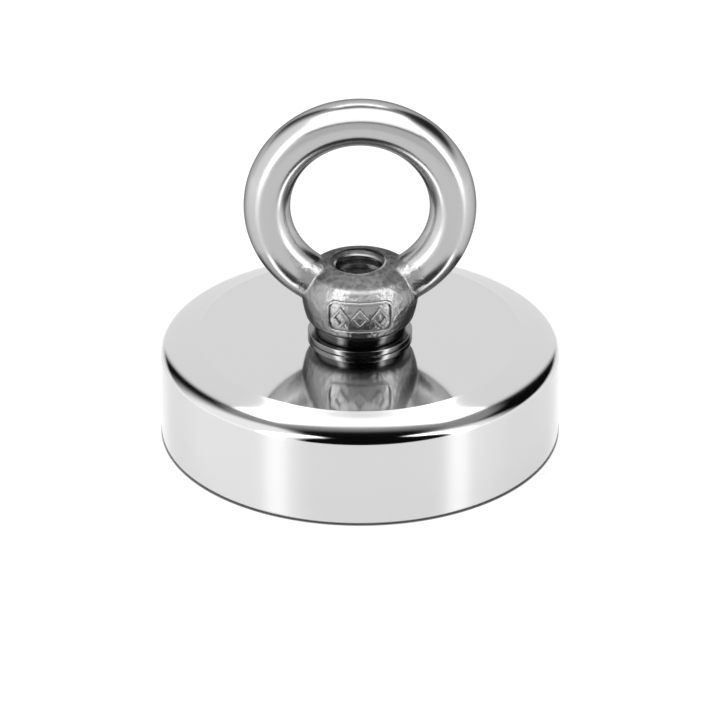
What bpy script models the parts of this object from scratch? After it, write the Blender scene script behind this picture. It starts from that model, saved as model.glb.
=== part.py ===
"""Magnet fishing magnet: a steel pot with a ring magnet potted into its underside, and an
eye nut that screws down onto the thread standing up through the pot. Metres, +Z up.

The origin is the centre of the pull face, so the pot stands on z = 0. The eye's hole runs
along Y.
"""
from math import cos, pi, radians, sin, tan

import bmesh
import bpy
from mathutils import Matrix, Vector

# ---- driving dimensions, in metres ----
GAP = 0.0002                  # left between pieces that touch on the real thing
ROUND_STEPS = 72              # facets round a large turned piece
SMALL_STEPS = 48              # facets round a washer
THREAD_STEPS = 24             # facets round a threaded piece

POT_R = 0.0210                # 42 mm pot
POT_HEIGHT = 0.0112
POT_ROOF = 0.0044             # steel above the magnet
POT_CAVITY_R = 0.0182
POT_SHOULDER_Z = 0.0095       # where the straight wall turns into the rounded edge
POT_FLAT_R = 0.0175           # outer edge of the flat top
POT_FOOT_CHAMFER = 0.0006
CAVITY_CHAMFER = 0.0003

MAGNET_R = 0.0166
MAGNET_HOLE_R = 0.0070
MAGNET_RECESS = 0.0003        # the steel rim touches first and spares the magnet
RESIN_RECESS = 0.00035
MAGNET_CHAMFER = 0.0004

PITCH = 0.0010                # M6 coarse thread
THREAD_CREST_R = 0.00295
THREAD_ROOT_R = 0.00242
NUT_CREST_R = 0.00265
NUT_ROOT_R = 0.00312
FLANK_ANGLE = radians(30)     # each flank leans this far from square
THREAD_FLAT = 0.00012         # width of the groove's floor in the screw
FLANK_CLEARANCE = 0.00012     # along the axis, on each flank
THREAD_MARGIN = 0.00015       # how far a groove's cutter stands out of the metal

SCREW_LENGTH = 0.0100         # M6 x 10 countersunk
SCREW_HEAD_R = 0.00565
SCREW_HEAD_RIM = 0.00035      # straight edge of the head
SCREW_TIP_CHAMFER = 0.0006
SOCKET_ACROSS_FLATS = 0.0040
SOCKET_DEPTH = 0.0022
SCREW_HOLE_R = 0.00325
SCREW_GROOVE_TURNS = 7
NUT_GROOVE_TURNS = 9
NUT_GROOVE_LEAD = 4.5         # turns of the nut's groove that lie below the screw's tip

WASHER_R = 0.0055
WASHER_HOLE_R = 0.0032
WASHER_THICKNESS = 0.0004
SPRING_R = 0.00485
SPRING_HOLE_R = 0.00315
SPRING_THICKNESS = 0.0009
SPRING_SPLIT = 0.0007         # width of the cut
SPRING_SPLIT_TILT = radians(30)
SPRING_SPLIT_AZIMUTH = radians(55)

COLLAR_R = 0.0061             # the barrel's widest radius
COLLAR_FOOT_R = 0.0046
COLLAR_TOP_Z = 0.0195
COLLAR_DOME = 0.0001          # rise and fall of the top about its mean height
COLLAR_DOME_R = 0.0030
COLLAR_CROWN_CENTRE = (0.0042, 0.0182)
COLLAR_CROWN_RADII = (0.0013, 0.0009)
COLLAR_WAIST_Z = 0.0160
COLLAR_SIDE_RISE = 0.0062     # the side is part of an ellipse this tall above its waist
COLLAR_FOOT_RADII = (0.00115, 0.0009)
NUT_LIP = 0.0003              # chamfer at the mouth of the thread
EYE_CENTRE_Z = 0.0262
EYE_RING_R = 0.00967          # centre of the bar
EYE_BAR_R = 0.00244
EYE_STEPS = 72
EYE_BAR_STEPS = 24

# ---- heights that follow from them ----
ROOF_Z = POT_HEIGHT - POT_ROOF
WASHER_Z = POT_HEIGHT + GAP
SPRING_Z = WASHER_Z + WASHER_THICKNESS + GAP
COLLAR_Z = SPRING_Z + SPRING_THICKNESS + GAP
SCREW_Z = ROOF_Z
SCREW_TIP_Z = SCREW_Z + SCREW_LENGTH

NAME = "fishing_magnet"


def clear_scene():
    for obj in list(bpy.data.objects):
        bpy.data.objects.remove(obj, do_unlink=True)


def new_collection(name):
    collection = bpy.data.collections.new(name)
    bpy.context.scene.collection.children.link(collection)
    return collection


def make_material(name, colour, metallic, roughness):
    material = bpy.data.materials.new(name)
    material.use_nodes = True
    shader = material.node_tree.nodes["Principled BSDF"]
    shader.inputs["Base Color"].default_value = (*colour, 1.0)
    shader.inputs["Metallic"].default_value = metallic
    shader.inputs["Roughness"].default_value = roughness
    material.diffuse_color = (*colour, 1.0)
    return material


def add_object(name, mesh, collection, material=None):
    obj = bpy.data.objects.new(name, mesh)
    collection.objects.link(obj)
    if material:
        mesh.materials.append(material)
    return obj


def as_cutter(obj):
    obj.hide_render = True
    obj.display_type = "WIRE"
    return obj


def turned(name, profile, collection, steps, material=None, closed=False):
    """Turn a profile of (radius, z) points about Z. It runs down the outer side; a closed one
    makes a ring, an open one starts and ends on the axis."""
    mesh = bpy.data.meshes.new(name)
    edges = [(i, i + 1) for i in range(len(profile) - 1)]
    if closed:
        edges.append((len(profile) - 1, 0))
    mesh.from_pydata([(r, 0.0, z) for r, z in profile], edges, [])
    obj = add_object(name, mesh, collection, material)
    screw = obj.modifiers.new("turn", "SCREW")
    screw.steps = steps
    screw.render_steps = steps
    screw.use_merge_vertices = True
    screw.merge_threshold = 0.000001
    screw.use_smooth_shade = True
    return obj


def boolean(obj, other, operation):
    cut = obj.modifiers.new(other.name, "BOOLEAN")
    cut.operation = operation
    cut.solver = "EXACT"
    cut.object = other


def shade(obj, angle=radians(30)):
    mesh = bpy.data.meshes.new_from_object(obj.evaluated_get(bpy.context.evaluated_depsgraph_get()))
    mesh.name = obj.name
    obj.modifiers.clear()
    obj.data = mesh
    mesh.shade_smooth()
    mesh.set_sharp_from_angle(angle=angle)


def arc(centre, radii, start, end, count):
    """Points of an elliptical arc in (radius, z), angles in degrees from +radius towards +z."""
    points = []
    for i in range(count + 1):
        angle = radians(start + (end - start) * i / count)
        points.append((centre[0] + radii[0] * cos(angle), centre[1] + radii[1] * sin(angle)))
    return points


def helical_groove(name, shape, start_z, turns, collection):
    """A right-handed helical cutter. shape lists (radius, half width) at its two ends."""
    (near_r, near_half), (far_r, far_half) = shape
    bm = bmesh.new()
    corners = [(near_r, -near_half), (far_r, -far_half), (far_r, far_half), (near_r, near_half)]
    verts = [bm.verts.new((r, 0.0, start_z + dz)) for r, dz in corners]
    edges = [bm.edges.new((verts[i], verts[(i + 1) % 4])) for i in range(4)]
    steps = round(turns * THREAD_STEPS)
    bmesh.ops.spin(
        bm,
        geom=verts + edges,
        cent=Vector(),
        axis=Vector((0, 0, 1)),
        dvec=Vector((0, 0, PITCH / THREAD_STEPS)),
        angle=2 * pi * turns,
        steps=steps,
    )
    bmesh.ops.holes_fill(bm, edges=bm.edges[:], sides=4)
    bmesh.ops.recalc_face_normals(bm, faces=bm.faces[:])
    mesh = bpy.data.meshes.new(name)
    bm.to_mesh(mesh)
    bm.free()
    return as_cutter(add_object(name, mesh, collection))


def ridge_half_width(radius):
    """Half the width of the screw's ridge at a radius, along the axis."""
    groove_at_crest = THREAD_FLAT / 2 + (THREAD_CREST_R - THREAD_ROOT_R) * tan(FLANK_ANGLE)
    return PITCH / 2 - groove_at_crest + (THREAD_CREST_R - radius) * tan(FLANK_ANGLE)


def steel_pot(parts, material):
    """Thick steel cup, open below, with a countersunk hole in its roof for the screw."""
    shoulder = arc(
        (POT_FLAT_R, POT_SHOULDER_Z), (POT_R - POT_FLAT_R, POT_HEIGHT - POT_SHOULDER_Z), 90, 0, 9
    )
    seat_r = SCREW_HEAD_R + GAP
    cone = seat_r - SCREW_HOLE_R
    profile = [(SCREW_HOLE_R, POT_HEIGHT), *shoulder]
    profile += [(POT_R, POT_FOOT_CHAMFER), (POT_R - POT_FOOT_CHAMFER, 0.0)]
    profile += [(POT_CAVITY_R + CAVITY_CHAMFER, 0.0), (POT_CAVITY_R, CAVITY_CHAMFER)]
    profile += [(POT_CAVITY_R, ROOF_Z), (seat_r, ROOF_Z)]
    profile += [(seat_r, ROOF_Z + SCREW_HEAD_RIM + GAP)]
    profile += [(SCREW_HOLE_R, ROOF_Z + SCREW_HEAD_RIM + GAP + cone)]
    return turned("steel_pot", profile, parts, ROUND_STEPS, material, closed=True)


def ring_magnet(parts, material):
    """Sintered ring magnet, set back a little from the steel rim."""
    low, high, c = MAGNET_RECESS, ROOF_Z - GAP, MAGNET_CHAMFER
    profile = [(MAGNET_HOLE_R + c, high), (MAGNET_R - c, high), (MAGNET_R, high - c)]
    profile += [(MAGNET_R, low + c), (MAGNET_R - c, low), (MAGNET_HOLE_R + c, low)]
    profile += [(MAGNET_HOLE_R, low + c), (MAGNET_HOLE_R, high - c)]
    return turned("ring_magnet", profile, parts, ROUND_STEPS, material, closed=True)


def potting_resin(parts, material):
    """Cast resin that fills the space between magnet and wall."""
    inner, outer = MAGNET_R + GAP, POT_CAVITY_R - GAP
    low, high = RESIN_RECESS, ROOF_Z - GAP
    profile = [(inner, high), (outer, high), (outer, low), (inner, low)]
    return turned("potting_resin", profile, parts, ROUND_STEPS, material, closed=True)


def countersunk_screw(parts, cutters, material):
    """Screw whose head sits in the pot's roof and whose thread carries the eye nut."""
    cone = SCREW_HEAD_R - THREAD_CREST_R
    profile = [(0.0, SCREW_TIP_Z), (THREAD_CREST_R - SCREW_TIP_CHAMFER, SCREW_TIP_Z)]
    profile += [(THREAD_CREST_R, SCREW_TIP_Z - SCREW_TIP_CHAMFER)]
    profile += [(THREAD_CREST_R, SCREW_Z + SCREW_HEAD_RIM + cone)]
    profile += [(SCREW_HEAD_R, SCREW_Z + SCREW_HEAD_RIM), (SCREW_HEAD_R, SCREW_Z), (0.0, SCREW_Z)]
    screw = turned("countersunk_screw", profile, parts, THREAD_STEPS, material)

    mouth_r = THREAD_CREST_R + THREAD_MARGIN
    shape = [
        (THREAD_ROOT_R, THREAD_FLAT / 2),
        (mouth_r, THREAD_FLAT / 2 + (mouth_r - THREAD_ROOT_R) * tan(FLANK_ANGLE)),
    ]
    start_z = SCREW_TIP_Z + (1 - SCREW_GROOVE_TURNS) * PITCH
    groove = helical_groove("screw_groove", shape, start_z, SCREW_GROOVE_TURNS, cutters)
    boolean(screw, groove, "DIFFERENCE")

    bpy.ops.mesh.primitive_cylinder_add(
        vertices=6,
        radius=SOCKET_ACROSS_FLATS / 2 / cos(pi / 6),
        depth=2 * SOCKET_DEPTH,
        location=(0, 0, SCREW_Z),
    )
    socket = move_to(as_cutter(bpy.context.object), "socket_cutter", cutters)
    boolean(screw, socket, "DIFFERENCE")
    shade(screw)
    return screw


def move_to(obj, name, collection):
    """Name a primitive, put it in a collection and apply its place to its mesh."""
    obj.name = name
    obj.data.name = name
    for old in list(obj.users_collection):
        old.objects.unlink(obj)
    collection.objects.link(obj)
    obj.data.transform(obj.matrix_basis)
    obj.matrix_basis = Matrix()
    return obj


def flat_washer(parts, material):
    low, high, c = WASHER_Z, WASHER_Z + WASHER_THICKNESS, WASHER_THICKNESS / 4
    profile = [(WASHER_HOLE_R, high), (WASHER_R - c, high), (WASHER_R, high - c)]
    profile += [(WASHER_R, low + c), (WASHER_R - c, low), (WASHER_HOLE_R, low)]
    return turned("flat_washer", profile, parts, SMALL_STEPS, material, closed=True)


def spring_washer(parts, cutters, material):
    """Split lock washer, pressed flat between the flat washer and the eye nut."""
    low, high, c = SPRING_Z, SPRING_Z + SPRING_THICKNESS, SPRING_THICKNESS / 5
    profile = [(SPRING_HOLE_R, high), (SPRING_R - c, high), (SPRING_R, high - c)]
    profile += [(SPRING_R, low + c), (SPRING_R - c, low), (SPRING_HOLE_R, low)]
    washer = turned("spring_washer", profile, parts, SMALL_STEPS, material, closed=True)

    bpy.ops.mesh.primitive_cube_add(size=1.0)
    split = bpy.context.object
    middle = Vector(((SPRING_R + SPRING_HOLE_R) / 2, 0.0, (low + high) / 2))
    size = Matrix.Diagonal((SPRING_R, SPRING_SPLIT, 3 * SPRING_THICKNESS, 1.0))
    tilt = Matrix.Rotation(SPRING_SPLIT_TILT, 4, "X")
    turn = Matrix.Rotation(SPRING_SPLIT_AZIMUTH, 4, "Z")
    split.matrix_basis = turn @ Matrix.Translation(middle) @ tilt @ size
    boolean(washer, move_to(as_cutter(split), "split_cutter", cutters), "DIFFERENCE")
    shade(washer)
    return washer


def collar_profile():
    """The barrel under the eye: domed top, rounded crown, bulging side, drawn-in foot."""
    crown = arc(COLLAR_CROWN_CENTRE, COLLAR_CROWN_RADII, 80, 20, 4)
    side = arc((0.0, COLLAR_WAIST_Z), (COLLAR_R, COLLAR_SIDE_RISE), 18, -18, 6)
    foot_centre = (COLLAR_FOOT_R, COLLAR_Z + COLLAR_FOOT_RADII[1])
    foot = arc(foot_centre, COLLAR_FOOT_RADII, -5, -90, 4)
    top = [(0.0, COLLAR_TOP_Z + COLLAR_DOME), (COLLAR_DOME_R, COLLAR_TOP_Z - COLLAR_DOME)]
    return [*top, *crown, *side, *foot, (0.0, COLLAR_Z)]


def eye_nut(parts, cutters, material):
    """Forged eye: a round bar bent into a ring, on a barrel with a thread right through it."""
    nut = turned("eye_nut", collar_profile(), parts, SMALL_STEPS, material)
    bpy.ops.mesh.primitive_torus_add(
        major_segments=EYE_STEPS,
        minor_segments=EYE_BAR_STEPS,
        major_radius=EYE_RING_R,
        minor_radius=EYE_BAR_R,
        location=(0, 0, EYE_CENTRE_Z),
        rotation=(pi / 2, 0, 0),
    )
    ring = move_to(as_cutter(bpy.context.object), "eye_ring", cutters)
    boolean(nut, ring, "UNION")

    lip = NUT_LIP
    over, under = COLLAR_TOP_Z + 2 * lip, COLLAR_Z - lip
    profile = [(0.0, over), (NUT_CREST_R + lip, over), (NUT_CREST_R + lip, COLLAR_TOP_Z)]
    profile += [(NUT_CREST_R, COLLAR_TOP_Z - lip), (NUT_CREST_R, COLLAR_Z + 2 * lip)]
    profile += [(NUT_CREST_R + 2 * lip, COLLAR_Z), (NUT_CREST_R + 2 * lip, under), (0.0, under)]
    bore = as_cutter(turned("nut_bore", profile, cutters, THREAD_STEPS))
    boolean(nut, bore, "DIFFERENCE")

    near_r = NUT_CREST_R - THREAD_MARGIN / 3
    shape = [(r, ridge_half_width(r) + FLANK_CLEARANCE) for r in (near_r, NUT_ROOT_R)]
    start_z = SCREW_TIP_Z - NUT_GROOVE_LEAD * PITCH
    groove = helical_groove("nut_groove", shape, start_z, NUT_GROOVE_TURNS, cutters)
    boolean(nut, groove, "DIFFERENCE")
    shade(nut)
    return nut


def main():
    clear_scene()
    parts = new_collection(NAME)
    cutters = new_collection("cutters")

    nickel = make_material("bright_nickel", (0.86, 0.86, 0.85), 1.0, 0.08)
    magnet = make_material("nickel_plated_magnet", (0.72, 0.72, 0.71), 1.0, 0.18)
    resin = make_material("black_epoxy", (0.02, 0.02, 0.022), 0.0, 0.35)
    stainless = make_material("polished_stainless", (0.78, 0.77, 0.75), 1.0, 0.14)
    zinc = make_material("zinc_plated_steel", (0.66, 0.67, 0.68), 1.0, 0.28)

    steel_pot(parts, nickel)
    ring_magnet(parts, magnet)
    potting_resin(parts, resin)
    countersunk_screw(parts, cutters, zinc)
    flat_washer(parts, stainless)
    spring_washer(parts, cutters, stainless)
    eye_nut(parts, cutters, stainless)


main()
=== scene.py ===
# %% [markdown]
# # A magnet fishing magnet
# A fishing magnet is a thick steel cup with a strong ring magnet glued into its underside and a
# steel eye on top for the rope. Everything on it is bright metal, so what the eye reads is
# almost only reflections: smooth turned surfaces, the right finish on each piece and a studio
# worth reflecting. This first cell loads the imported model, which is the fixed frame for every
# size and place below.

# %% Load the frame
from math import cos, hypot, pi, radians, sin, sqrt, tan

import bpy
from mathutils import Matrix, Vector


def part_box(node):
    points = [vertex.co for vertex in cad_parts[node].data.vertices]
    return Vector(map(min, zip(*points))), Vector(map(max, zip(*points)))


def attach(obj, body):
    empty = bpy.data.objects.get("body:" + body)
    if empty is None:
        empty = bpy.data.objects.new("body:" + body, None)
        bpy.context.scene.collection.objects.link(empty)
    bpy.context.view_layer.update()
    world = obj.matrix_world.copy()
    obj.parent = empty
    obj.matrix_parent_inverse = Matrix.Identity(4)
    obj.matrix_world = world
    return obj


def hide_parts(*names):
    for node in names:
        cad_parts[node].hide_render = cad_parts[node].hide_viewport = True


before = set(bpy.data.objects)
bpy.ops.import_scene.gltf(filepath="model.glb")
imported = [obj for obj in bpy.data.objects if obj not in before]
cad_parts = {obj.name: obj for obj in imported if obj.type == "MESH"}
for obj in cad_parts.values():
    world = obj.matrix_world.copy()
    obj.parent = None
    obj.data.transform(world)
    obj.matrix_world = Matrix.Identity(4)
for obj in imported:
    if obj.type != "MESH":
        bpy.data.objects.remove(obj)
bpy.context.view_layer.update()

MM = 0.001

# %% [markdown]
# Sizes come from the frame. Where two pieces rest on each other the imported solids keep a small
# gap, and the visible pieces close it.

# %% Sizes from the frame
_, pot_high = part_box("steel_pot")
magnet_low, magnet_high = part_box("ring_magnet")
resin_low, resin_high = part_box("potting_resin")
screw_low, screw_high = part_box("countersunk_screw")
_, washer_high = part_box("flat_washer")
spring_low, spring_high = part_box("spring_washer")
eye_low, eye_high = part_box("eye_nut")

POT_R = pot_high.x
PLATE_Z = pot_high.z
EYE_R = eye_high.x
BARREL_R = eye_high.y
SEAM = 0.02 * MM                       # hairline left between pieces that touch
WASHER_TOP = (washer_high.z + spring_low.z) / 2 - 0.05 * MM
SPRING_TOP = eye_low.z - SEAM
print(f"pot {2 * POT_R / MM:.1f} mm wide and {PLATE_Z / MM:.1f} mm high")
print(f"eye up to {eye_high.z / MM:.1f} mm, barrel {2 * BARREL_R / MM:.1f} mm across")

# %% [markdown]
# The camera comes early because every later choice is judged through it. A long lens from
# 60 cm away, looking down at about 28 degrees, keeps the round pot free of distortion, as a
# catalogue picture does.

# %% Camera
CAMERA_ELEVATION = radians(28.4)
CAMERA_DISTANCE = 600 * MM
AIM = Vector((0.0, 0.0, 8.0 * MM))
LENS = 284.7                           # focal length for a sensor 36 mm wide

camera_data = bpy.data.cameras.new("camera")
camera_data.lens = LENS
camera_data.sensor_width = 36.0
camera = bpy.data.objects.new("camera", camera_data)
bpy.context.scene.collection.objects.link(camera)
back = Vector((0.0, -cos(CAMERA_ELEVATION), sin(CAMERA_ELEVATION)))
camera.location = AIM + CAMERA_DISTANCE * back
camera.rotation_euler = (-back).to_track_quat("-Z", "Y").to_euler()
bpy.context.scene.camera = camera
bpy.context.scene.view_settings.view_transform = "Standard"
print("camera at", [round(v, 3) for v in camera.location])

# %% [markdown]
# ## Helpers for modelling
# A turned piece is modelled the way a lathe cuts it: one vertex is extruded along half of the
# section and the line is spun round the axis. The helpers below only save typing: they enter
# and leave edit mode, drop stray selections and name the result.


# %% Selection and edit mode
def start_clean():
    """Leave edit mode and select nothing, because operators act on all that is selected."""
    if bpy.context.object and bpy.context.object.mode != "OBJECT":
        bpy.ops.object.mode_set(mode="OBJECT")
    bpy.ops.object.select_all(action="DESELECT")


def make_active(obj):
    start_clean()
    obj.select_set(True)
    bpy.context.view_layer.objects.active = obj


def named(name):
    """Name the object that an operator has just added."""
    obj = bpy.context.object
    obj.name = name
    obj.data.name = name
    return obj


def settle(obj):
    """Put the object's place into its mesh, so that the object sits at the origin."""
    make_active(obj)
    bpy.ops.object.transform_apply(location=True, rotation=True, scale=True)
    return obj


def arc(centre, radii, start, end, count):
    """(radius, z) points of an elliptical arc; 0 degrees points outwards and 90 up."""
    points = []
    for i in range(count + 1):
        a = radians(start + (end - start) * i / count)
        points.append((centre[0] + radii[0] * cos(a), centre[1] + radii[1] * sin(a)))
    return points


print("a quarter arc in two steps:", [f"{r:.2f} {z:.2f}" for r, z in arc((0, 0), (1, 1), 0, 90, 2)])

# %% [markdown]
# A profile is a list of (radius, height) points. A closed one describes a ring; an open one
# starts and ends on the axis. `finish_shell` is the last thing done to every mesh: coinciding
# points are welded, the faces are turned outwards, because a spin can leave them pointing
# inwards, and only edges sharper than the given angle stay sharp.

# %% Draw a profile and spin it
def draw_profile(name, points, closed):
    """Extrude one vertex from point to point in the XZ plane."""
    start_clean()
    bpy.ops.mesh.primitive_plane_add(size=MM)
    obj = named(name)
    bpy.ops.object.mode_set(mode="EDIT")
    bpy.ops.mesh.select_mode(type="VERT")
    bpy.ops.mesh.select_all(action="SELECT")
    bpy.ops.mesh.merge(type="CENTER")
    bpy.ops.mesh.select_all(action="SELECT")
    bpy.ops.transform.translate(value=(points[0][0], 0.0, points[0][1]))
    for (r0, z0), (r1, z1) in zip(points, points[1:]):
        step = (r1 - r0, 0.0, z1 - z0)
        bpy.ops.mesh.extrude_region_move(TRANSFORM_OT_translate={"value": step})
    bpy.ops.object.mode_set(mode="OBJECT")
    if closed:
        first, last = 0, len(obj.data.vertices) - 1
        for vertex in obj.data.vertices:
            vertex.select = vertex.index in (first, last)
        bpy.ops.object.mode_set(mode="EDIT")
        bpy.ops.mesh.edge_face_add()
        bpy.ops.object.mode_set(mode="OBJECT")
    return obj


def finish_shell(obj, sharp=40.0):
    """Weld what coincides, turn the faces outwards and shade smooth except over edges."""
    make_active(obj)
    bpy.ops.object.mode_set(mode="EDIT")
    bpy.ops.mesh.select_all(action="SELECT")
    bpy.ops.mesh.remove_doubles(threshold=0.0005 * MM)
    bpy.ops.mesh.normals_make_consistent(inside=False)
    bpy.ops.object.mode_set(mode="OBJECT")
    bpy.ops.object.shade_smooth_by_angle(angle=radians(sharp))
    return obj


def turn(name, points, closed=True, steps=256, angle=360.0, sharp=40.0):
    """Spin a profile about Z. A part turn is closed with a flat face at each end."""
    obj = draw_profile(name, points, closed)
    bpy.ops.object.mode_set(mode="EDIT")
    bpy.ops.mesh.select_all(action="SELECT")
    bpy.ops.mesh.spin(steps=steps, angle=radians(angle), center=(0, 0, 0), axis=(0, 0, 1))
    if angle < 360.0:
        bpy.ops.mesh.select_all(action="DESELECT")
        bpy.ops.mesh.select_non_manifold()
        bpy.ops.mesh.edge_face_add()
    bpy.ops.object.mode_set(mode="OBJECT")
    finish_shell(obj, sharp)
    print(f"turned {name}: {len(points)} points make {len(obj.data.polygons)} faces")
    return obj


# %% [markdown]
# A Boolean cuts one mesh with another or joins the two, and its modifier is applied at once so that
# the result is a plain mesh. `place_piece` ties a finished piece to the frame: the body it moves
# with and the imported solid it stands for, which is hidden.

# %% Cut and join
def apply_modifiers(obj):
    make_active(obj)
    for modifier in list(obj.modifiers):
        bpy.ops.object.modifier_apply(modifier=modifier.name)
    return obj


def combine(obj, other, operation):
    """Boolean with another mesh, which is used up."""
    modifier = obj.modifiers.new(operation.lower(), "BOOLEAN")
    modifier.operation = operation
    modifier.solver = "EXACT"
    modifier.object = other
    apply_modifiers(obj)
    print(f"{operation.lower()} of {obj.name} and {other.name}: {len(obj.data.polygons)} faces")
    bpy.data.objects.remove(other, do_unlink=True)
    return obj


def place_piece(obj, body, node):
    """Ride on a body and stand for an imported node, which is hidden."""
    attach(obj, body)
    if node:
        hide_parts(node)
    print(obj.name, len(obj.data.polygons), "faces, on", body)
    return obj


# %% [markdown]
# ## The steel pot
# The cup is turned from mild steel. Its top is flat, then breaks into a shallow slope that ends
# in a rounded shoulder and the straight wall. That break decides the picture: the flat top
# reflects the back of the studio, the slope looks up past the eye at the bright ceiling, and
# the shoulder sweeps on over the dark opening in front, so the rim carries one clean white and
# one black band. Slope and shoulder are one Bezier curve whose first handle lies along the
# slope. Two close points on each side of an edge keep the flat faces truly flat when they are
# shaded smooth.

# %% Turn the pot
SLOPE = radians(15.5)
SLOPE_START_R = 17.0 * MM
SHOULDER_Z = 9.3 * MM
SLOPE_HANDLE = 2.2 * MM
SHOULDER_HANDLE = 1.0 * MM
WALL_IN = 2.8 * MM
FOOT_ROUND = 0.45 * MM
HOLE_R = 3.25 * MM
SEAT_R = screw_high.x + 0.2 * MM
SUPPORT = 0.12 * MM
roof_z = magnet_high.z + 0.2 * MM
cavity_r = POT_R - WALL_IN


def bezier(start, handle_1, handle_2, end, count):
    """(radius, z) points along one cubic Bezier curve."""
    points = []
    for i in range(count + 1):
        t = i / count
        weights = ((1 - t) ** 3, 3 * t * (1 - t) ** 2, 3 * t * t * (1 - t), t ** 3)
        knots = (start, handle_1, handle_2, end)
        points.append(tuple(sum(w * k[axis] for w, k in zip(weights, knots)) for axis in (0, 1)))
    return points


slope_handle = (
    SLOPE_START_R + SLOPE_HANDLE * cos(SLOPE), PLATE_Z - SLOPE_HANDLE * sin(SLOPE)
)
crown = bezier(
    (SLOPE_START_R, PLATE_Z), slope_handle, (POT_R, SHOULDER_Z + SHOULDER_HANDLE),
    (POT_R, SHOULDER_Z), 36,
)

pot_profile = [(HOLE_R + 0.15 * MM, PLATE_Z), (HOLE_R + 0.3 * MM, PLATE_Z)]
pot_profile += [(crown[0][0] - SUPPORT, PLATE_Z), *crown]
pot_profile += [(POT_R, SHOULDER_Z - SUPPORT), (POT_R, FOOT_ROUND + SUPPORT)]
pot_profile += arc((POT_R - FOOT_ROUND, FOOT_ROUND), (FOOT_ROUND, FOOT_ROUND), 0, -90, 6)
pot_profile += [(POT_R - FOOT_ROUND - SUPPORT, 0.0), (cavity_r + 3 * SUPPORT, 0.0)]
pot_profile += [(cavity_r + 2 * SUPPORT, 0.0), (cavity_r, 2 * SUPPORT), (cavity_r, 3 * SUPPORT)]
pot_profile += [(cavity_r, roof_z), (SEAT_R, roof_z), (SEAT_R, roof_z + 0.4 * MM)]
pot_profile += [(HOLE_R, roof_z + 0.4 * MM + SEAT_R - HOLE_R), (HOLE_R, PLATE_Z - 0.15 * MM)]
steel_pot = turn("bright_pot", pot_profile, steps=360, sharp=4.0)
print(f"flat to r {crown[0][0] / MM:.2f} mm, shoulder at {SHOULDER_Z / MM:.2f} mm")
place_piece(steel_pot, "pot_assembly", "steel_pot")

# %% [markdown]
# ## Magnet and resin
# The ring magnet is pressed from powder, ground flat and plated, so its edges are softly
# rounded. The resin is poured round it and sinks a little as it sets, which leaves a shallow
# hollow between magnet and wall.

# %% Turn the magnet and pour the resin
MAGNET_ROUND = 0.45 * MM
MAGNET_HOLE_R = 7.0 * MM
outer, inner = magnet_high.x - MAGNET_ROUND, MAGNET_HOLE_R + MAGNET_ROUND
top, bottom = magnet_high.z - MAGNET_ROUND, magnet_low.z + MAGNET_ROUND
rounding = (MAGNET_ROUND, MAGNET_ROUND)
magnet_profile = [
    *arc((outer, top), rounding, 90, 0, 6),
    *arc((outer, bottom), rounding, 0, -90, 6),
    *arc((inner, bottom), rounding, -90, -180, 6),
    *arc((inner, top), rounding, 180, 90, 6),
]
ring_magnet = turn("plated_ring_magnet", magnet_profile, steps=256, sharp=50.0)
place_piece(ring_magnet, "pot_assembly", "ring_magnet")

RESIN_SINK = 0.12 * MM
resin_in, resin_out = magnet_high.x + SEAM, cavity_r - SEAM
resin_mid = (resin_in + resin_out) / 2
resin_half = (resin_out - resin_in) / 2
resin_profile = [(resin_in, resin_high.z), (resin_out, resin_high.z)]
resin_profile += arc((resin_mid, resin_low.z), (resin_half, RESIN_SINK), 0, 180, 16)
potting = turn("potting_ring", resin_profile, steps=256, sharp=50.0)
place_piece(potting, "pot_assembly", "potting_resin")

# %% [markdown]
# ## The thread
# A thread is drawn once, as one tooth whose two ends lie a pitch apart, and the screw operator
# winds it down the axis, turning the way that makes a right-hand thread. The wound surface is
# trimmed with two bisecting planes that also fill the cut, which leaves a closed threaded rod.
# The same function makes the screw's thread and, with a little clearance, the tool that taps
# the eye nut.

# %% Wind a thread
PITCH = 1.0 * MM
CREST_R = 2.95 * MM
ROOT_R = 2.42 * MM
TOOTH_FLAT = 0.12 * MM
FLANK = tan(radians(30))


def threaded_rod(name, root_r, crest_r, crest_half, low, high, phase, steps=72):
    """A closed rod from low to high. The ridge has its centre at height phase over +X."""
    root_half = crest_half + (crest_r - root_r) * FLANK
    tooth = [(root_r, -PITCH / 2), (root_r, -root_half), (crest_r, -crest_half)]
    tooth += [(crest_r, crest_half), (root_r, root_half), (root_r, PITCH / 2)]
    start = phase + PITCH * (int((high - phase) / PITCH) + 2)
    turns = int((start - low) / PITCH) + 2
    rod = draw_profile(name, [(r, z + start) for r, z in tooth], closed=False)
    bpy.ops.object.mode_set(mode="EDIT")
    bpy.ops.mesh.select_all(action="SELECT")
    bpy.ops.mesh.screw(steps=steps, turns=turns, center=(0, 0, 0), axis=(0, 0, -1))
    bpy.ops.mesh.select_all(action="SELECT")
    bpy.ops.mesh.remove_doubles(threshold=0.002 * MM)
    for height, side in ((low, -1), (high, 1)):
        bpy.ops.mesh.select_all(action="SELECT")
        bpy.ops.mesh.bisect(
            plane_co=(0, 0, height), plane_no=(0, 0, side),
            use_fill=True, clear_outer=True, threshold=1e-7,
        )
    bpy.ops.object.mode_set(mode="OBJECT")
    finish_shell(rod, 25.0)
    heights = [v.co.z for v in rod.data.vertices]
    print(f"{name}: {turns} turns, from {min(heights) / MM:.2f} to {max(heights) / MM:.2f} mm")
    return rod


# %% [markdown]
# ## The screw
# A countersunk M6 screw: a blank with a chamfered tip is turned, and what the threaded rod and
# the blank have in common is the finished shank. The head gets its hexagon socket last.

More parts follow.
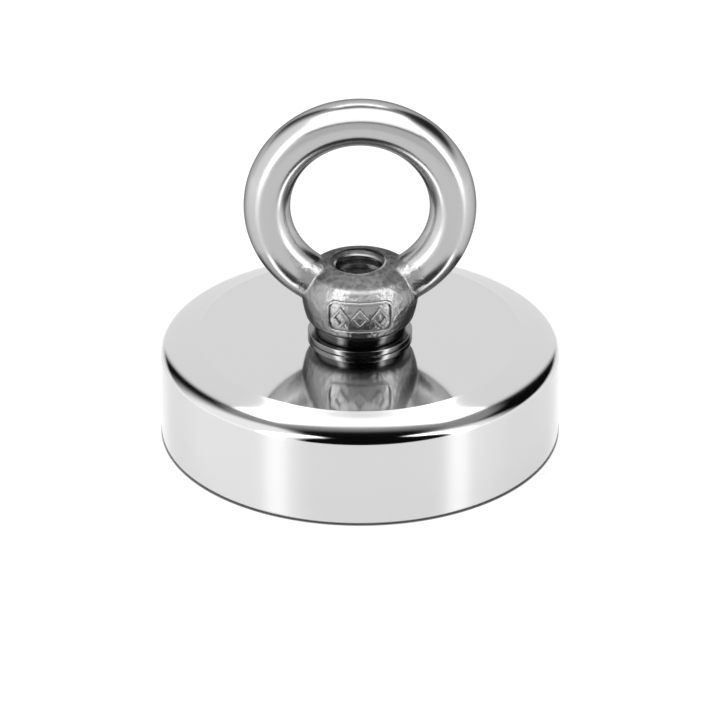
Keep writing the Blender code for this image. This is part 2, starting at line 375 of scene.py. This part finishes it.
# %% Screw
TIP_CHAMFER = 0.6 * MM
HEAD_RIM = 0.35 * MM
HEAD_R = screw_high.x
SOCKET_R = 2.0 * MM / cos(radians(30))
SOCKET_DEPTH = 2.2 * MM
tip_z, head_z = screw_high.z, screw_low.z
cone_top = head_z + HEAD_RIM + HEAD_R - CREST_R
thread_crest_half = PITCH / 2 - TOOTH_FLAT / 2 - (CREST_R - ROOT_R) * FLANK
ridge_phase = tip_z + PITCH / 2

screw = threaded_rod(
    "socket_screw", ROOT_R, CREST_R, thread_crest_half, cone_top + 0.3 * MM, tip_z, ridge_phase
)
blank_profile = [(0.0, tip_z), (CREST_R - TIP_CHAMFER, tip_z)]
blank_profile += [(CREST_R + 0.05 * MM, tip_z - TIP_CHAMFER - 0.05 * MM)]
blank_profile += [(CREST_R + 0.05 * MM, cone_top), (0.0, cone_top)]
combine(screw, turn("blank", blank_profile, closed=False, steps=96), "INTERSECT")
head_profile = [(0.0, cone_top + 0.8 * MM), (ROOT_R + 0.2 * MM, cone_top + 0.8 * MM)]
head_profile += [(CREST_R, cone_top), (HEAD_R, head_z + HEAD_RIM), (HEAD_R, head_z + 0.1 * MM)]
head_profile += [(HEAD_R - 0.1 * MM, head_z), (0.0, head_z)]
combine(screw, turn("head", head_profile, closed=False, steps=96), "UNION")
start_clean()
bpy.ops.mesh.primitive_cylinder_add(
    vertices=6, radius=SOCKET_R, depth=2 * SOCKET_DEPTH, location=(0, 0, head_z)
)
combine(screw, settle(named("socket")), "DIFFERENCE")
finish_shell(screw, 30.0)
place_piece(screw, "pot_assembly", "countersunk_screw")

# %% [markdown]
# ## The two washers
# The flat washer is stamped, so its upper edge is rolled over. The spring washer is cut from a
# wound wire of square section: its edges are rounded, which is why it shows as two bright
# lines, and its ends meet at a slanting slit. Nearly a full turn is spun and the ends are
# filled; a shear in code then leans the two end faces.

# %% Washers
EDGE = 0.12 * MM
WASHER_HOLE_R = 3.2 * MM
WASHER_FLAT_R = WASHER_HOLE_R + 0.15 * MM
washer_r = washer_high.x
washer_profile = [(WASHER_HOLE_R, WASHER_TOP), (WASHER_FLAT_R, WASHER_TOP)]
washer_profile += arc((washer_r - EDGE, WASHER_TOP - EDGE), (EDGE, EDGE), 90, 0, 5)
washer_profile += arc((washer_r - EDGE, PLATE_Z + EDGE + SEAM), (EDGE, EDGE), 0, -90, 5)
washer_profile += [(WASHER_FLAT_R, PLATE_Z + SEAM), (WASHER_HOLE_R, PLATE_Z + SEAM)]
flat_washer = turn("stamped_washer", washer_profile, steps=192)
place_piece(flat_washer, "pot_assembly", "flat_washer")

SPRING_EDGE = 0.26 * MM
SLIT_ANGLE = 6.0
SLIT_LEAN = radians(30)
SLIT_AZIMUTH = radians(55)
spring_r, spring_hole = spring_high.x, 3.15 * MM
spring_bottom = WASHER_TOP + SEAM
corners = [
    (spring_r - SPRING_EDGE, SPRING_TOP - SPRING_EDGE, 90),
    (spring_r - SPRING_EDGE, spring_bottom + SPRING_EDGE, 0),
    (spring_hole + SPRING_EDGE, spring_bottom + SPRING_EDGE, -90),
    (spring_hole + SPRING_EDGE, SPRING_TOP - SPRING_EDGE, -180),
]
spring_profile = []
for r, z, start in corners:
    spring_profile += arc((r, z), (SPRING_EDGE, SPRING_EDGE), start, start - 90, 6)
spring = turn(
    "split_spring_washer", spring_profile, steps=180, angle=360.0 - SLIT_ANGLE, sharp=50.0
)
spring_middle = (SPRING_TOP + spring_bottom) / 2
for vertex in spring.data.vertices:
    lean = tan(SLIT_LEAN) * (vertex.co.z - spring_middle) / spring_r
    vertex.co = Matrix.Rotation(SLIT_AZIMUTH + lean, 3, "Z") @ vertex.co
place_piece(spring, "lock_washer", "spring_washer")

# %% [markdown]
# ## The eye nut
# The eye is forged in one piece: a round bar bent into a ring, running into a barrel with a
# thread through it. It could be two shapes joined by a Boolean, but that leaves a knife-sharp
# line between them. A forging flows there. So the two are joined, remeshed into small equal
# squares and relaxed a little, which rounds the line into a narrow fillet and leaves the rest
# where it was. The thread is tapped afterwards, so it stays crisp.

# %% Ring and barrel
BAR_R = 2.44 * MM
ring_r = EYE_R - BAR_R
ring_z = eye_high.z - EYE_R
BARREL_WAIST_Z = 16.0 * MM
BARREL_SIDE_RISE = 6.2 * MM            # half height of the ellipse that bulges the side
BARREL_TOP = 19.8 * MM
CROWN_CENTRE, CROWN_RADII = (4.2 * MM, 18.25 * MM), (1.3 * MM, 0.95 * MM)
FOOT_R = 4.6 * MM
FOOT_RADII = (1.12 * MM, 0.9 * MM)

start_clean()
bpy.ops.mesh.primitive_torus_add(
    major_segments=160,
    minor_segments=64,
    major_radius=ring_r,
    minor_radius=BAR_R,
    location=(0, 0, ring_z),
    rotation=(pi / 2, 0, 0),
)
eye = settle(named("forged_eye_nut"))

barrel_profile = [(0.0, BARREL_TOP + 0.05 * MM), (2.0 * MM, BARREL_TOP + 0.03 * MM)]
barrel_profile += [(3.0 * MM, BARREL_TOP - 0.08 * MM), (4.0 * MM, BARREL_TOP - 0.4 * MM)]
barrel_profile += arc(CROWN_CENTRE, CROWN_RADII, 66, 20, 12)
side_radii = (BARREL_R - 0.03 * MM, BARREL_SIDE_RISE)
barrel_profile += arc((0.0, BARREL_WAIST_Z), side_radii, 18, -18, 24)
barrel_profile += arc((FOOT_R, eye_low.z + FOOT_RADII[1]), FOOT_RADII, -5, -90, 14)
barrel_profile += [(0.0, eye_low.z)]
barrel = turn("barrel", barrel_profile, closed=False, steps=160)
combine(eye, barrel, "UNION")

# %% [markdown]
# The squares are 0.13 mm wide, fine enough for the barrel's edges to survive. Then the barrel
# alone gets the shallow dimples that a hammer and the scale on a hot forging leave. They are
# real relief, so they also bend the outline, and a vertex group fades them out where the
# polished ring and the flat end begin.

# %% Flow the joint together
VOXEL = 0.13 * MM
remesh = eye.modifiers.new("even_squares", "REMESH")
remesh.mode = "VOXEL"
remesh.voxel_size = VOXEL
remesh.use_smooth_shade = True
relax = eye.modifiers.new("relax", "SMOOTH")
relax.factor = 0.5
relax.iterations = 8
apply_modifiers(eye)

DIMPLES_OUT, DIMPLES_TOP = 6.9 * MM, 18.9 * MM
barrel_group = eye.vertex_groups.new(name="barrel")
for vertex in eye.data.vertices:
    x, y, z = vertex.co
    share = min(1.0, max(0.0, (DIMPLES_OUT - hypot(x, y)) / MM))
    share *= min(1.0, max(0.0, (DIMPLES_TOP - z) / (0.6 * MM)))
    if share > 0.0:
        barrel_group.add([vertex.index], share, "REPLACE")
hammer = bpy.data.textures.new("hammer_marks", "CLOUDS")
hammer.noise_scale = 0.8 * MM
hammer.noise_depth = 1
dimples = eye.modifiers.new("dimples", "DISPLACE")
dimples.texture = hammer
dimples.texture_coords = "LOCAL"
dimples.vertex_group = "barrel"
dimples.strength = 0.06 * MM
apply_modifiers(eye)
print("forging:", len(eye.data.polygons), "faces")

# %% [markdown]
# A steel grade is usually stamped into a raised frame on the barrel. Here the frame holds three
# plain lozenges instead. Each outline is a flat ring of faces, made from a primitive by inset
# and extrude, subdivided, and wrapped round the barrel by turning x into an angle.

# %% Raised frame with lozenges
BADGE_Z = 16.05 * MM
BADGE_WIDTH, BADGE_HEIGHT = 7.3 * MM, 3.7 * MM
BADGE_LINE = 0.34 * MM
BADGE_PROUD = 0.24 * MM
BADGE_SINK = 0.50 * MM


def outline_tile(name, width, height, corner, centre_x):
    """A raised outline standing in the XZ plane: a plane with rounded corners, or turned into a
    lozenge if corner is 0, then inset, emptied, thickened and rounded over."""
    start_clean()
    bpy.ops.mesh.primitive_plane_add(size=1.0, location=(centre_x, 0, 0), rotation=(pi / 2, 0, 0))
    tile = settle(named(name))
    middle = (centre_x, 0, 0)
    bpy.ops.object.mode_set(mode="EDIT")
    bpy.ops.mesh.select_all(action="SELECT")
    if corner == 0:
        bpy.ops.transform.rotate(value=pi / 4, orient_axis="Y", center_override=middle)
        bpy.ops.transform.resize(value=(sqrt(0.5), 1, sqrt(0.5)), center_override=middle)
    bpy.ops.transform.resize(value=(width, 1, height), center_override=middle)
    if corner > 0:
        bpy.ops.mesh.bevel(offset=corner, segments=8, affect="VERTICES")
    bpy.ops.mesh.select_mode(type="FACE")
    bpy.ops.mesh.select_all(action="SELECT")
    bpy.ops.mesh.inset(thickness=BADGE_LINE, use_even_offset=True)
    bpy.ops.mesh.delete(type="FACE")
    bpy.ops.mesh.select_all(action="SELECT")
    bpy.ops.mesh.subdivide(number_cuts=3)
    bpy.ops.mesh.extrude_region_move(
        TRANSFORM_OT_translate={"value": (0, -(BADGE_PROUD + BADGE_SINK), 0)}
    )
    bpy.ops.mesh.region_to_loop()
    bpy.ops.mesh.bevel(offset=BADGE_LINE / 3, segments=3, affect="EDGES")
    bpy.ops.object.mode_set(mode="OBJECT")
    return tile


def wrap_round_barrel(tile):
    """Turn x into an angle round Z, and lay the tile's depth along the barrel's radius."""
    for vertex in tile.data.vertices:
        x, depth, z = vertex.co
        bulge = sqrt(1 - (z / BARREL_SIDE_RISE) ** 2)
        radius = BARREL_R * bulge - BADGE_SINK - depth
        a = x / BARREL_R
        vertex.co = (radius * sin(a), -radius * cos(a), BADGE_Z + z)
    return finish_shell(tile, 40.0)


LOZENGE = (1.95 * MM, 2.45 * MM)
tiles = [outline_tile("badge", BADGE_WIDTH, BADGE_HEIGHT, 0.9 * MM, 0.0)]
for i in (-1, 0, 1):
    tiles.append(outline_tile(f"lozenge_{i + 2}", *LOZENGE, 0, 2.1 * MM * i))
for tile in tiles:
    wrap_round_barrel(tile)
make_active(tiles[0])
for tile in tiles:
    tile.select_set(True)
bpy.ops.object.join()
combine(eye, tiles[0], "UNION")
print("with badge:", len(eye.data.polygons), "faces")

# %% [markdown]
# The nut is tapped with a rod that is a tenth of a millimetre bigger all round than the screw,
# in step with the screw's thread, and both mouths are chamfered so that the screw starts
# easily.

# %% Tap the thread
CLEARANCE = 0.12 * MM
NUT_CREST_R = 2.56 * MM
NUT_ROOT_R = 3.12 * MM
LIP = 0.3 * MM
tap_half = thread_crest_half + CLEARANCE - (NUT_ROOT_R - CREST_R) * FLANK
tap = threaded_rod(
    "tap", NUT_CREST_R, NUT_ROOT_R, tap_half, eye_low.z - LIP, BARREL_TOP + 2 * LIP, ridge_phase
)
combine(eye, tap, "DIFFERENCE")
lower_mouth = [(0.0, eye_low.z + 2 * LIP), (NUT_CREST_R - 0.1 * MM, eye_low.z + 2.4 * LIP)]
lower_mouth += [(NUT_CREST_R + 2.6 * LIP, eye_low.z - 0.6 * LIP), (0.0, eye_low.z - 0.6 * LIP)]
upper_mouth = [(0.0, BARREL_TOP + LIP), (NUT_CREST_R + 0.4 * LIP, BARREL_TOP + LIP)]
upper_mouth += [(NUT_CREST_R - 0.1 * MM, BARREL_TOP - 0.8 * LIP), (0.0, BARREL_TOP - 0.8 * LIP)]
for i, mouth in enumerate((lower_mouth, upper_mouth)):
    combine(eye, turn(f"mouth_{i}", mouth, closed=False, steps=96), "DIFFERENCE")
finish_shell(eye, 32.0)
place_piece(eye, "eye", "eye_nut")

# %% [markdown]
# ## Finishes
# Every colour is written as the hex value that a colour picker shows and turned to linear
# light by one function. One small function adds a node with its settings and its links. A
# second puts a few nodes together into a window with soft edges, which is how the materials
# know where on a piece they are and how the studio's panels get their outlines. The scale of
# every pattern is one over the size of its features in millimetres.


# %% Colour and node helpers
def hex_colour(code):
    """sRGB hex to linear RGBA."""
    values = [int(code[i:i + 2], 16) / 255 for i in (1, 3, 5)]
    linear = [v / 12.92 if v <= 0.04045 else ((v + 0.055) / 1.055) ** 2.4 for v in values]
    return (*linear, 1.0)


def add_node(tree, kind, inputs=None, **settings):
    """Add a node with its settings. inputs maps an input's name or number either to the socket
    that feeds it or to a plain value."""
    node = tree.nodes.new(kind)
    for key, value in settings.items():
        setattr(node, key, value)
    for key, value in (inputs or {}).items():
        if isinstance(value, bpy.types.NodeSocket):
            tree.links.new(value, node.inputs[key])
        else:
            node.inputs[key].default_value = value
    return node


def soft_window(tree, level, *spans):
    """level inside a window with soft edges and 0 outside it. A span is a value and the four
    places where the window starts, is full, begins to fall and is gone; None leaves a side
    open."""
    for value, start, full, fall, gone in spans:
        for none, whole in ((start, full), (gone, fall)):
            if none is not None:
                edge = add_node(
                    tree, "ShaderNodeMapRange",
                    {"Value": value, "From Min": none, "From Max": whole},
                    interpolation_type="SMOOTHSTEP",
                )
                level = add_node(
                    tree, "ShaderNodeMath", {0: level, 1: edge.outputs["Result"]},
                    operation="MULTIPLY",
                ).outputs["Value"]
    return level


def new_material(name, colour, metallic, roughness):
    material = bpy.data.materials.new(name)
    material.use_nodes = True
    shader = material.node_tree.nodes["Principled BSDF"]
    shader.inputs["Base Color"].default_value = hex_colour(colour)
    shader.inputs["Metallic"].default_value = metallic
    shader.inputs["Roughness"].default_value = roughness
    return material, material.node_tree, shader


def dress(obj, material):
    """Give the whole piece one material."""
    obj.data.materials.clear()
    obj.data.materials.append(material)
    for face in obj.data.polygons:
        face.material_index = 0
    print(obj.name, "wears", material.name)


print("mid grey #808080 is", round(hex_colour("#808080")[0], 3), "in linear light")


# %% [markdown]
# **Bright nickel plate.** The pot is polished on the lathe and then plated with bright nickel.
# It reflects like a mirror that gives back about two thirds of the light, but the wheel has left
# fine grooves that run round the axis. They draw every reflection out across the grooves, which
# is why the eye's image in the plate dissolves into streaks. That is an anisotropic finish whose
# tangent runs round Z. A haze that varies from place to place and a slight orange peel keep it
# from looking computed.

# %% Bright nickel plate
nickel, tree, shader = new_material("bright_nickel_plate", "#D3D3D3", 1.0, 0.07)
shader.inputs["Anisotropic"].default_value = 0.85
shader.inputs["Anisotropic Rotation"].default_value = 0.25
place = add_node(tree, "ShaderNodeTexCoord").outputs["Object"]
grooves = add_node(tree, "ShaderNodeTangent", direction_type="RADIAL", axis="Z")
tree.links.new(grooves.outputs["Tangent"], shader.inputs["Tangent"])
haze = add_node(
    tree, "ShaderNodeTexNoise", {"Vector": place, "Scale": 1 / (6.0 * MM), "Detail": 3.0}
)
haze_range = add_node(
    tree, "ShaderNodeMapRange", {"Value": haze.outputs["Fac"], "To Min": 0.06, "To Max": 0.10}
)
tree.links.new(haze_range.outputs["Result"], shader.inputs["Roughness"])
peel = add_node(
    tree, "ShaderNodeTexNoise", {"Vector": place, "Scale": 1 / (2.4 * MM), "Detail": 2.0}
)
peel_bump = add_node(
    tree, "ShaderNodeBump",
    {"Height": peel.outputs["Fac"], "Strength": 0.02, "Distance": 0.02 * MM},
)
tree.links.new(peel_bump.outputs["Normal"], shader.inputs["Normal"])
dress(steel_pot, nickel)

# %% [markdown]
# **Polished stainless.** The eye is 304 stainless. The ring is polished on a wheel and comes out
# a little darker and softer than the plate, with low waves left by the forging under the
# polish, and it darkens towards its outline. The wheel doesn't reach the barrel, which keeps
# its forged skin: darker, duller and pitted. Its end is darker still. One material does all
# three, with soft windows made from the height and from the distance to the screw's axis. The
# thread is cut after forging, so the windows leave it bright.

# %% Where the eye is polished and where it is not
stainless, tree, shader = new_material("polished_304_stainless", "#BABABA", 1.0, 0.20)
place = add_node(tree, "ShaderNodeTexCoord").outputs["Object"]
height = add_node(tree, "ShaderNodeSeparateXYZ", {"Vector": place}).outputs["Z"]
level_place = add_node(
    tree, "ShaderNodeVectorMath", {0: place, 1: (1.0, 1.0, 0.0)}, operation="MULTIPLY"
)
axis_distance = add_node(
    tree, "ShaderNodeVectorMath", {0: level_place.outputs["Vector"]}, operation="LENGTH"
).outputs["Value"]
facing = add_node(tree, "ShaderNodeNewGeometry").outputs["Normal"]
facing_up = add_node(tree, "ShaderNodeSeparateXYZ", {"Vector": facing}).outputs["Z"]
skin = soft_window(
    tree, 1.0,
    (axis_distance, 3.1 * MM, 3.3 * MM, 6.2 * MM, 7.4 * MM),
    (height, None, None, 19.9 * MM, 20.4 * MM),
)
barrel_end = soft_window(
    tree, 1.0,
    (axis_distance, 2.70 * MM, 2.80 * MM, 5.1 * MM, 5.6 * MM),
    (height, 18.6 * MM, 19.0 * MM, 19.9 * MM, 20.4 * MM),
    (facing_up, 0.55, 0.85, None, None),
)
print("masks: forged skin to r 6.2-7.4 mm, dark end inside r 5.1-5.6 mm, thread left bright")

# %% Colour, roughness and relief of the eye
shader.inputs["Specular Tint"].default_value = hex_colour("#8C8C8C")
cloud = add_node(
    tree, "ShaderNodeTexNoise", {"Vector": place, "Scale": 1 / (0.65 * MM), "Detail": 4.0}
)
end_tone = add_node(tree, "ShaderNodeValToRGB", {"Fac": cloud.outputs["Fac"]})
for stop, where, colour in zip(
    end_tone.color_ramp.elements, (0.35, 0.65), ("#646464", "#868686")
):
    stop.position = where
    stop.color = hex_colour(colour)
barrel_tone = add_node(
    tree, "ShaderNodeMix", {"Factor": skin, 6: hex_colour("#BABABA"), 7: hex_colour("#9A9A9A")},
    data_type="RGBA",
)
tone = add_node(
    tree, "ShaderNodeMix",
    {"Factor": barrel_end, 6: barrel_tone.outputs[2], 7: end_tone.outputs["Color"]},
    data_type="RGBA",
)
tree.links.new(tone.outputs[2], shader.inputs["Base Color"])
dull_skin = add_node(
    tree, "ShaderNodeMath", {0: skin, 1: 0.10, 2: 0.20}, operation="MULTIPLY_ADD"
)
dull_end = add_node(
    tree, "ShaderNodeMath", {0: barrel_end, 1: 0.18, 2: dull_skin.outputs["Value"]},
    operation="MULTIPLY_ADD",
)
tree.links.new(dull_end.outputs["Value"], shader.inputs["Roughness"])
waves = add_node(
    tree, "ShaderNodeTexNoise", {"Vector": place, "Scale": 1 / (3.3 * MM), "Detail": 1.0}
)
wave_bump = add_node(
    tree, "ShaderNodeBump",
    {"Height": waves.outputs["Fac"], "Strength": 0.10, "Distance": 0.05 * MM},
)
pits = add_node(
    tree, "ShaderNodeTexNoise", {"Vector": place, "Scale": 1 / (0.6 * MM), "Detail": 4.0}
)
pit_depth = add_node(
    tree, "ShaderNodeMath", {0: pits.outputs["Fac"], 1: skin}, operation="MULTIPLY"
)
pit_bump = add_node(
    tree, "ShaderNodeBump",
    {
        "Height": pit_depth.outputs["Value"], "Normal": wave_bump.outputs["Normal"],
        "Strength": 0.8, "Distance": 0.14 * MM,
    },
)
tree.links.new(pit_bump.outputs["Normal"], shader.inputs["Normal"])
dress(eye, stainless)
print(stainless.name, len(tree.nodes), "nodes")

# %% [markdown]
# ** Tumbled stainless with painted shade.** Washers are stamped or wound and then tumbled in a drum with stones, which takes off the burrs and leaves them bright but knocked all over, with highlights that break up into short glints. Both are darker than the plate. The flat washer is darker partly because of its tumbled finish and partly as painted shade. The spring washer is nearly black as painted shade under the barrel, so the neck under the barrel stays nearly black.

# %% Tumbled stainless, darkened as painted shade
# The washers' colours are partly painted shade: the spring washer's #555555 stands for the shade
# under the barrel, and the flat washer's #8A8A8A is darkened for the same reason.
for washer, name, colour in (
    (flat_washer, "tumbled_304_stainless_painted_shade", "#8A8A8A"),
    (spring, "spring_stainless_painted_shade", "#555555"),
):
    washer_finish_and_shade, tree, shader = new_material(name, colour, 1.0, 0.16)
    place = add_node(tree, "ShaderNodeTexCoord").outputs["Object"]
    knocks = add_node(
        tree, "ShaderNodeTexNoise", {"Vector": place, "Scale": 1 / (1.1 * MM), "Detail": 2.0}
    )
    knock_range = add_node(
        tree, "ShaderNodeMapRange",
        {"Value": knocks.outputs["Fac"], "To Min": 0.10, "To Max": 0.24},
    )
    tree.links.new(knock_range.outputs["Result"], shader.inputs["Roughness"])
    knock_bump = add_node(
        tree, "ShaderNodeBump",
        {"Height": knocks.outputs["Fac"], "Strength": 0.3, "Distance": 0.04 * MM},
    )
    tree.links.new(knock_bump.outputs["Normal"], shader.inputs["Normal"])
    dress(washer, washer_finish_and_shade)

# %% [markdown]
# **Zinc plate, satin nickel and epoxy.** These show on the underside and when the eye is
# unscrewed. Zinc is greyer and duller than nickel; the magnet is plated in a barrel, which
# leaves a fine satin; the epoxy is black with a soft shine and a few trapped specks.

# %% Zinc plate
zinc, tree, shader = new_material("zinc_plated_steel", "#B9BBBE", 1.0, 0.26)
place = add_node(tree, "ShaderNodeTexCoord").outputs["Object"]
grain = add_node(
    tree, "ShaderNodeTexNoise", {"Vector": place, "Scale": 1 / (1.1 * MM), "Detail": 3.0}
)
grain_bump = add_node(
    tree, "ShaderNodeBump",
    {"Height": grain.outputs["Fac"], "Strength": 0.15, "Distance": 0.02 * MM},
)
tree.links.new(grain_bump.outputs["Normal"], shader.inputs["Normal"])
dress(screw, zinc)

# %% Satin nickel
satin, tree, shader = new_material("barrel_plated_nickel", "#C4C2BE", 1.0, 0.22)
place = add_node(tree, "ShaderNodeTexCoord").outputs["Object"]
grain = add_node(
    tree, "ShaderNodeTexNoise", {"Vector": place, "Scale": 1 / (0.65 * MM), "Detail": 4.0}
)
grain_range = add_node(
    tree, "ShaderNodeMapRange", {"Value": grain.outputs["Fac"], "To Min": 0.16, "To Max": 0.32}
)
tree.links.new(grain_range.outputs["Result"], shader.inputs["Roughness"])
grain_bump = add_node(
    tree, "ShaderNodeBump",
    {"Height": grain.outputs["Fac"], "Strength": 0.12, "Distance": 0.02 * MM},
)
tree.links.new(grain_bump.outputs["Normal"], shader.inputs["Normal"])
dress(ring_magnet, satin)

# %% Epoxy
epoxy, tree, shader = new_material("black_epoxy", "#141416", 0.0, 0.32)
place = add_node(tree, "ShaderNodeTexCoord").outputs["Object"]
specks = add_node(
    tree, "ShaderNodeTexNoise", {"Vector": place, "Scale": 1 / (0.8 * MM), "Detail": 5.0}
)
speck_bump = add_node(
    tree, "ShaderNodeBump",
    {"Height": specks.outputs["Fac"], "Strength": 0.35, "Distance": 0.04 * MM},
)
tree.links.new(speck_bump.outputs["Normal"], shader.inputs["Normal"])
dress(potting, epoxy)

# %% [markdown]
# ## The studio
# Polished metal is lit by what it reflects. The floor is a light table, white and slightly glossy,
# so the object stands on white without a heavy shadow. Its glow is painted dark under the pot and
# just past its edge, a painted contact shadow that leaves a dark hairline where the pot touches it.

# %% Light table
TABLE_R = 250 * MM
start_clean()
bpy.ops.mesh.primitive_circle_add(vertices=128, radius=TABLE_R, fill_type="NGON")
floor = named("light_table")
table, tree, shader = new_material("opal_acrylic", "#8C8C8C", 0.0, 0.25)
shader.inputs["Emission Color"].default_value = (1.0, 1.0, 1.0, 1.0)
place = add_node(tree, "ShaderNodeTexCoord").outputs["Object"]
from_middle = add_node(
    tree, "ShaderNodeVectorMath", {0: place}, operation="LENGTH"
).outputs["Value"]
# The glow is cut off under the pot and only returns just outside its edge: a painted contact shadow
# that shows as a dark hairline.
lit = soft_window(tree, 0.84, (from_middle, POT_R - 0.05 * MM, POT_R + 0.15 * MM, None, None))
tree.links.new(lit, shader.inputs["Emission Strength"])
dress(floor, table)

# %% [markdown]
# A plain white tent would leave the metal flat, so the tent has a brighter box behind and a
# bright strip on each side, and between them an opening to the dark room. It is written as the
# world. Azimuth is 0 towards the camera and grows to the right; each panel is a soft window in
# azimuth and elevation, and the brightest panel wins.

# %% Tent
world = bpy.data.worlds.new("tent")
bpy.context.scene.world = world
world.use_nodes = True
tree = world.node_tree
direction = add_node(tree, "ShaderNodeTexCoord").outputs["Generated"]
axes = add_node(tree, "ShaderNodeSeparateXYZ", {"Vector": direction}).outputs
forward = add_node(tree, "ShaderNodeMath", {0: axes["Y"], 1: -1.0}, operation="MULTIPLY")
azimuth = add_node(
    tree, "ShaderNodeMath", {0: axes["X"], 1: forward.outputs["Value"]}, operation="ARCTAN2"
).outputs["Value"]
from_front = add_node(tree, "ShaderNodeMath", {0: azimuth}, operation="ABSOLUTE").outputs["Value"]
elevation = add_node(
    tree, "ShaderNodeMath", {0: axes["Z"]}, operation="ARCSINE"
).outputs["Value"]

PANELS = [
    # level, angle across, its four edges, the four edges of the elevation, all in degrees
    ("back wall", 1.0, from_front, (144, 152, None, None), (None, None, 58, 65)),
    ("box behind", 3.0, from_front, (144, 152, None, None), (49, 53, 59, 65)),
    ("left panel", 1.25, azimuth, (-140, -98, -38, -30), (None, None, 66, 76)),
    ("left strip", 5.5, azimuth, (-62, -52, -46, -38), (None, None, 66, 76)),
    ("right panel", 1.25, azimuth, (46, 53, 68, 104), (None, None, 66, 76)),
    ("right strip", 5.5, azimuth, (48, 56, 62, 70), (None, None, 66, 76)),
    ("low wall left", 1.0, azimuth, (None, None, -38, -28), (None, None, 6, 18)),
    ("low wall right", 1.0, azimuth, (44, 54, None, None), (None, None, 6, 18)),
    ("dim upper left", 0.35, azimuth, (None, None, -38, -28), (46, 56, 64, 76)),
    ("dim upper right", 0.35, azimuth, (44, 54, None, None), (46, 56, 64, 76)),
]
DARK_ROOM = 0.004
brightest = DARK_ROOM
for name, level, across, sideways, upright in PANELS:
    spans = []
    for angle, edges in ((across, sideways), (elevation, upright)):
        spans.append((angle, *(None if edge is None else radians(edge) for edge in edges)))
    panel = soft_window(tree, level, *spans)
    brightest = add_node(
        tree, "ShaderNodeMath", {0: brightest, 1: panel}, operation="MAXIMUM"
    ).outputs["Value"]
    print(f"{name}: level {level}")
background = tree.nodes["Background"]
background.inputs["Color"].default_value = (1.0, 1.0, 1.0, 1.0)
tree.links.new(brightest, background.inputs["Strength"])

# %% [markdown]
# The eye gets two soft lamps of its own through light linking, as small banks of light are
# used in a studio: a bright one overhead and a dim one in front, which lifts the side that
# faces the viewer. A lamp's size follows from the elevations it has to cover as seen from the
# eye, and its power from the brightness wanted per area. `max_bounces` 0 keeps them largely out
# of the eye's image in the plate, so that the image stays dark where the eye meets the plate.

# %% Lamps for the eye alone
receivers = bpy.data.collections.new("lit_by_eye_lamps")
receivers.objects.link(eye)
LAMP_DISTANCE = 350 * MM
LAMP_WIDTH = 560 * MM
LAMP_AZIMUTH = radians(5)
EYE_MIDDLE = Vector((0.0, 0.0, 26 * MM))
for name, low, high, level in (("eye_top_lamp", 31, 98, 2.1), ("eye_front_lamp", -8, 23, 0.8)):
    middle = radians((low + high) / 2)
    lamp_height = 2 * LAMP_DISTANCE * tan(radians((high - low) / 2))
    towards = Vector((
        sin(LAMP_AZIMUTH) * cos(middle), -cos(LAMP_AZIMUTH) * cos(middle), sin(middle)
    ))
    start_clean()
    bpy.ops.object.light_add(type="AREA", location=EYE_MIDDLE + LAMP_DISTANCE * towards)
    lamp = bpy.context.object
    lamp.name = name
    lamp.rotation_euler = towards.to_track_quat("Z", "Y").to_euler()
    lamp.data.shape = "RECTANGLE"
    lamp.data.size = LAMP_WIDTH
    lamp.data.size_y = lamp_height
    lamp.data.energy = level * pi * LAMP_WIDTH * lamp_height
    lamp.data.cycles.max_bounces = 0
    lamp.visible_camera = False
    lamp.light_linking.receiver_collection = receivers
    print(f"{name}: {LAMP_WIDTH:.2f} x {lamp_height:.2f} m, {lamp.data.energy:.2f} W")

# %% [markdown]
# Behind everything is a white backdrop. It is seen by the camera alone, so it adds nothing to
# the reflections that the tent has been shaped for.

# %% Backdrop seen only by the camera
BACKDROP_R = 2.5
start_clean()
bpy.ops.mesh.primitive_uv_sphere_add(segments=64, ring_count=32, radius=BACKDROP_R)
backdrop = named("backdrop")
white, tree, shader = new_material("white_paper", "#FFFFFF", 0.0, 1.0)
shader.inputs["Emission Color"].default_value = (1.0, 1.0, 1.0, 1.0)
shader.inputs["Emission Strength"].default_value = 1.0
dress(backdrop, white)
for ray in ("diffuse", "glossy", "transmission", "shadow", "volume_scatter"):
    setattr(backdrop, f"visible_{ray}", False)
